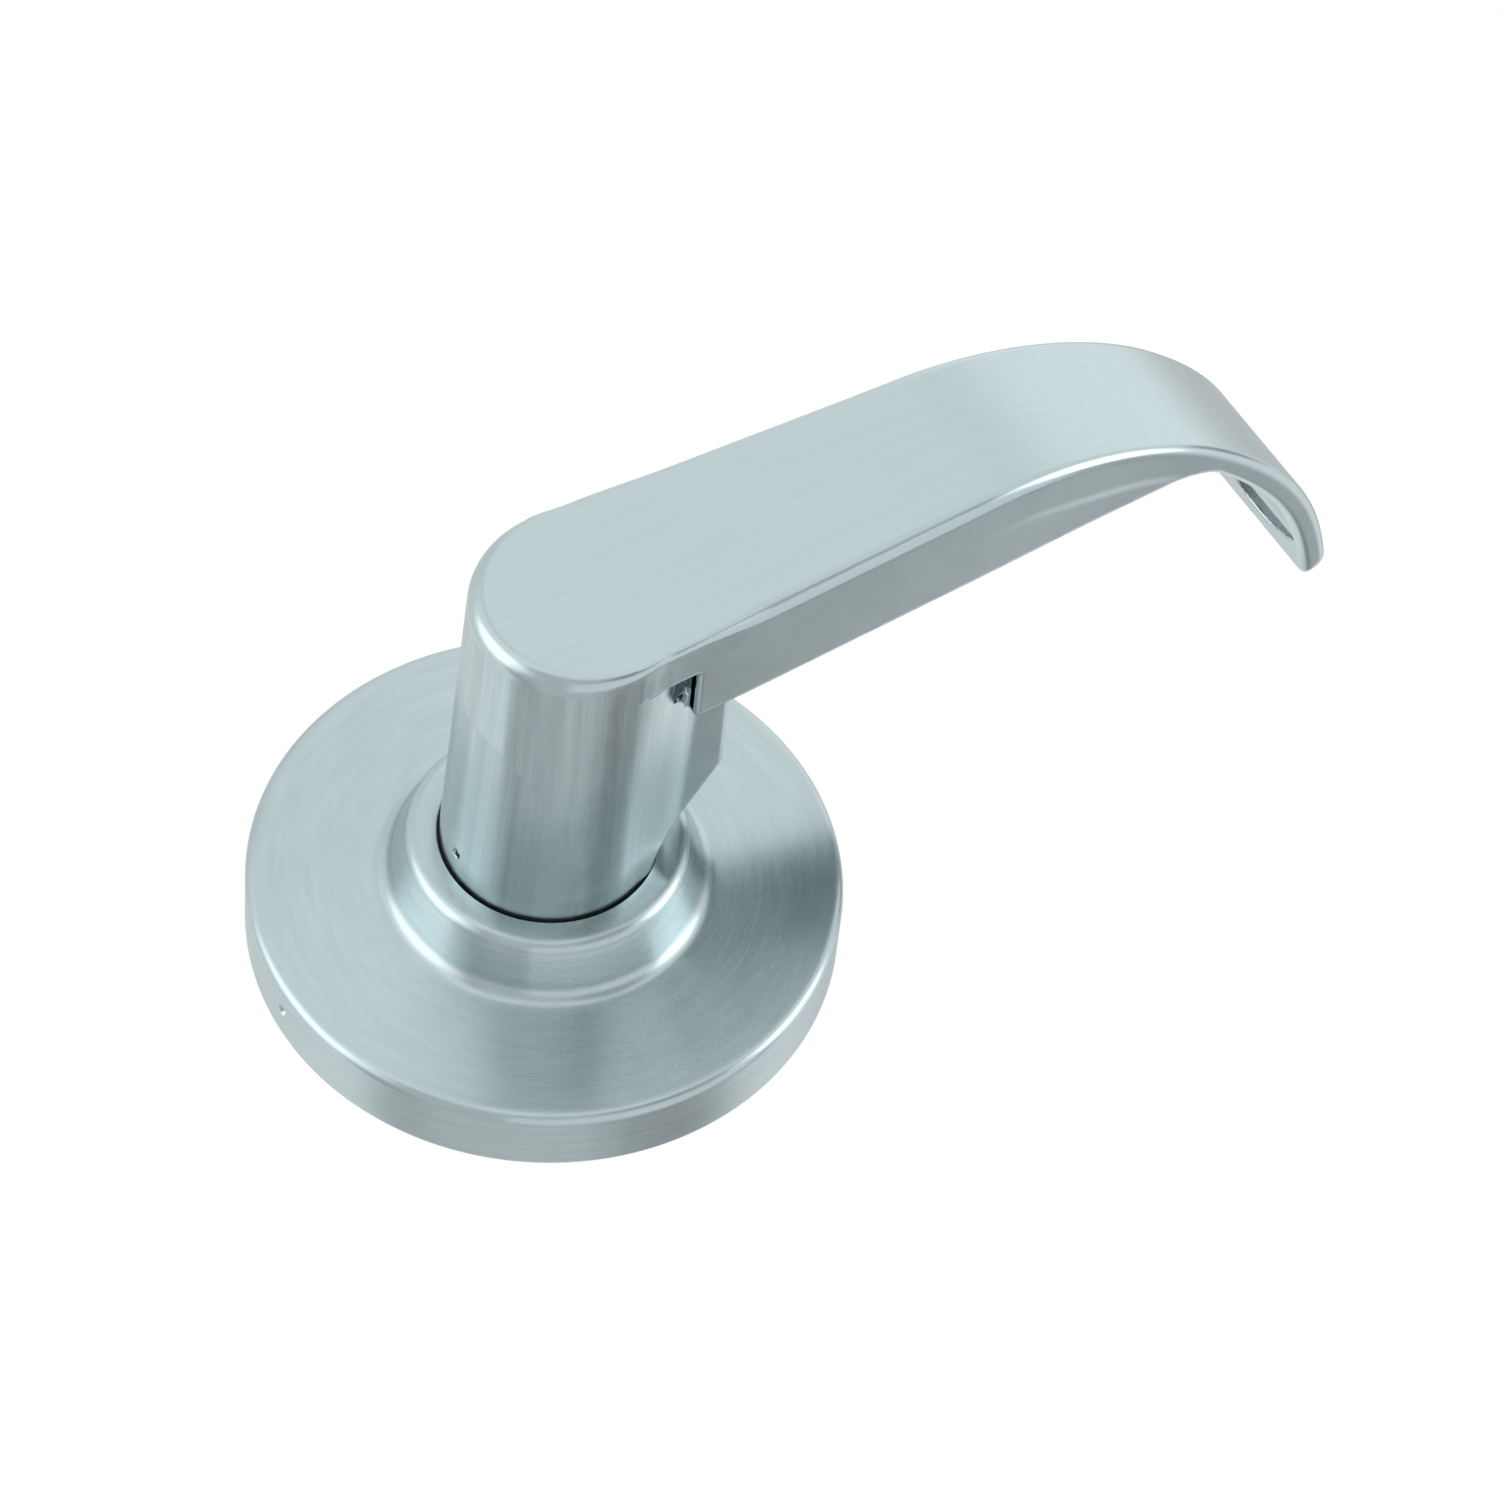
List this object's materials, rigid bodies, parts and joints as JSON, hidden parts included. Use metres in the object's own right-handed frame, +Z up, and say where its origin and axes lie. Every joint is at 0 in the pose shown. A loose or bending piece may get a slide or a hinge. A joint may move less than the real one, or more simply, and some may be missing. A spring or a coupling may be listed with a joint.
{
  "type": "door lever handle",
  "caption": "Curved door lever with a return, turning on a sprung round rose, with spindle, square drive bar and threaded fixing posts.",
  "frame": {"origin": "centre of the two fixing posts on the hub's axis, in the plane of the door's face where the rose rests", "axes": "+Y into the door along the hub's axis, +X along the lever towards its tip, +Z up on an upright door; the room is at -Y"},
  "size_m": [0.1772, 0.1254, 0.0888],
  "materials": {
    "satin_lever": "satin",
    "satin_rose": "satin, brushed in circles",
    "dark_nylon": "matte",
    "natural_nylon": "matte",
    "zinc_plated_steel": "plated",
    "zinc_casting": "as cast",
    "bright_steel": "bright",
    "hardened_steel": "dark",
    "spring_steel": "drawn wire",
    "bronze": "sintered"
  },
  "bodies": {
    "trim": {"rose": "satin_rose", "collar_bushing": "dark_nylon", "mounting_plate": "zinc_plated_steel", "spring_cage": "zinc_casting", "cage_screws": "bright_steel", "return_spring_lower_right": "spring_steel", "return_spring_lower_left": "spring_steel", "spindle_bushing": "natural_nylon", "thrust_washer": "bronze", "wave_washer": "spring_steel", "mounting_posts": "zinc_plated_steel"},
    "handle": {"lever": "satin_lever", "driver_plate": "hardened_steel", "spindle": "zinc_plated_steel", "spindle_core": "zinc_casting", "core_pin": "spring_steel", "square_bar": "bright_steel", "retaining_ring": "hardened_steel", "catch_spring": "spring_steel"},
    "catch": {"catch_plunger": "hardened_steel"}
  },
  "joints": [
    {"name": "lever_turn", "type": "hinge", "parent": "trim", "child": "handle", "pos_m": [0, 0, 0], "axis": [0, 1, 0], "range_deg": [-50, 50], "stiffness_Nm_per_rad": 1.2, "deforming": ["return_spring_lower_right", "return_spring_lower_left"]},
    {"name": "catch_press", "type": "slide", "parent": "handle", "child": "catch", "axis": [1, 0, 0], "range_m": [0, 0.0027], "stiffness_N_per_m": 400, "deforming": ["catch_spring"]}
  ]
}
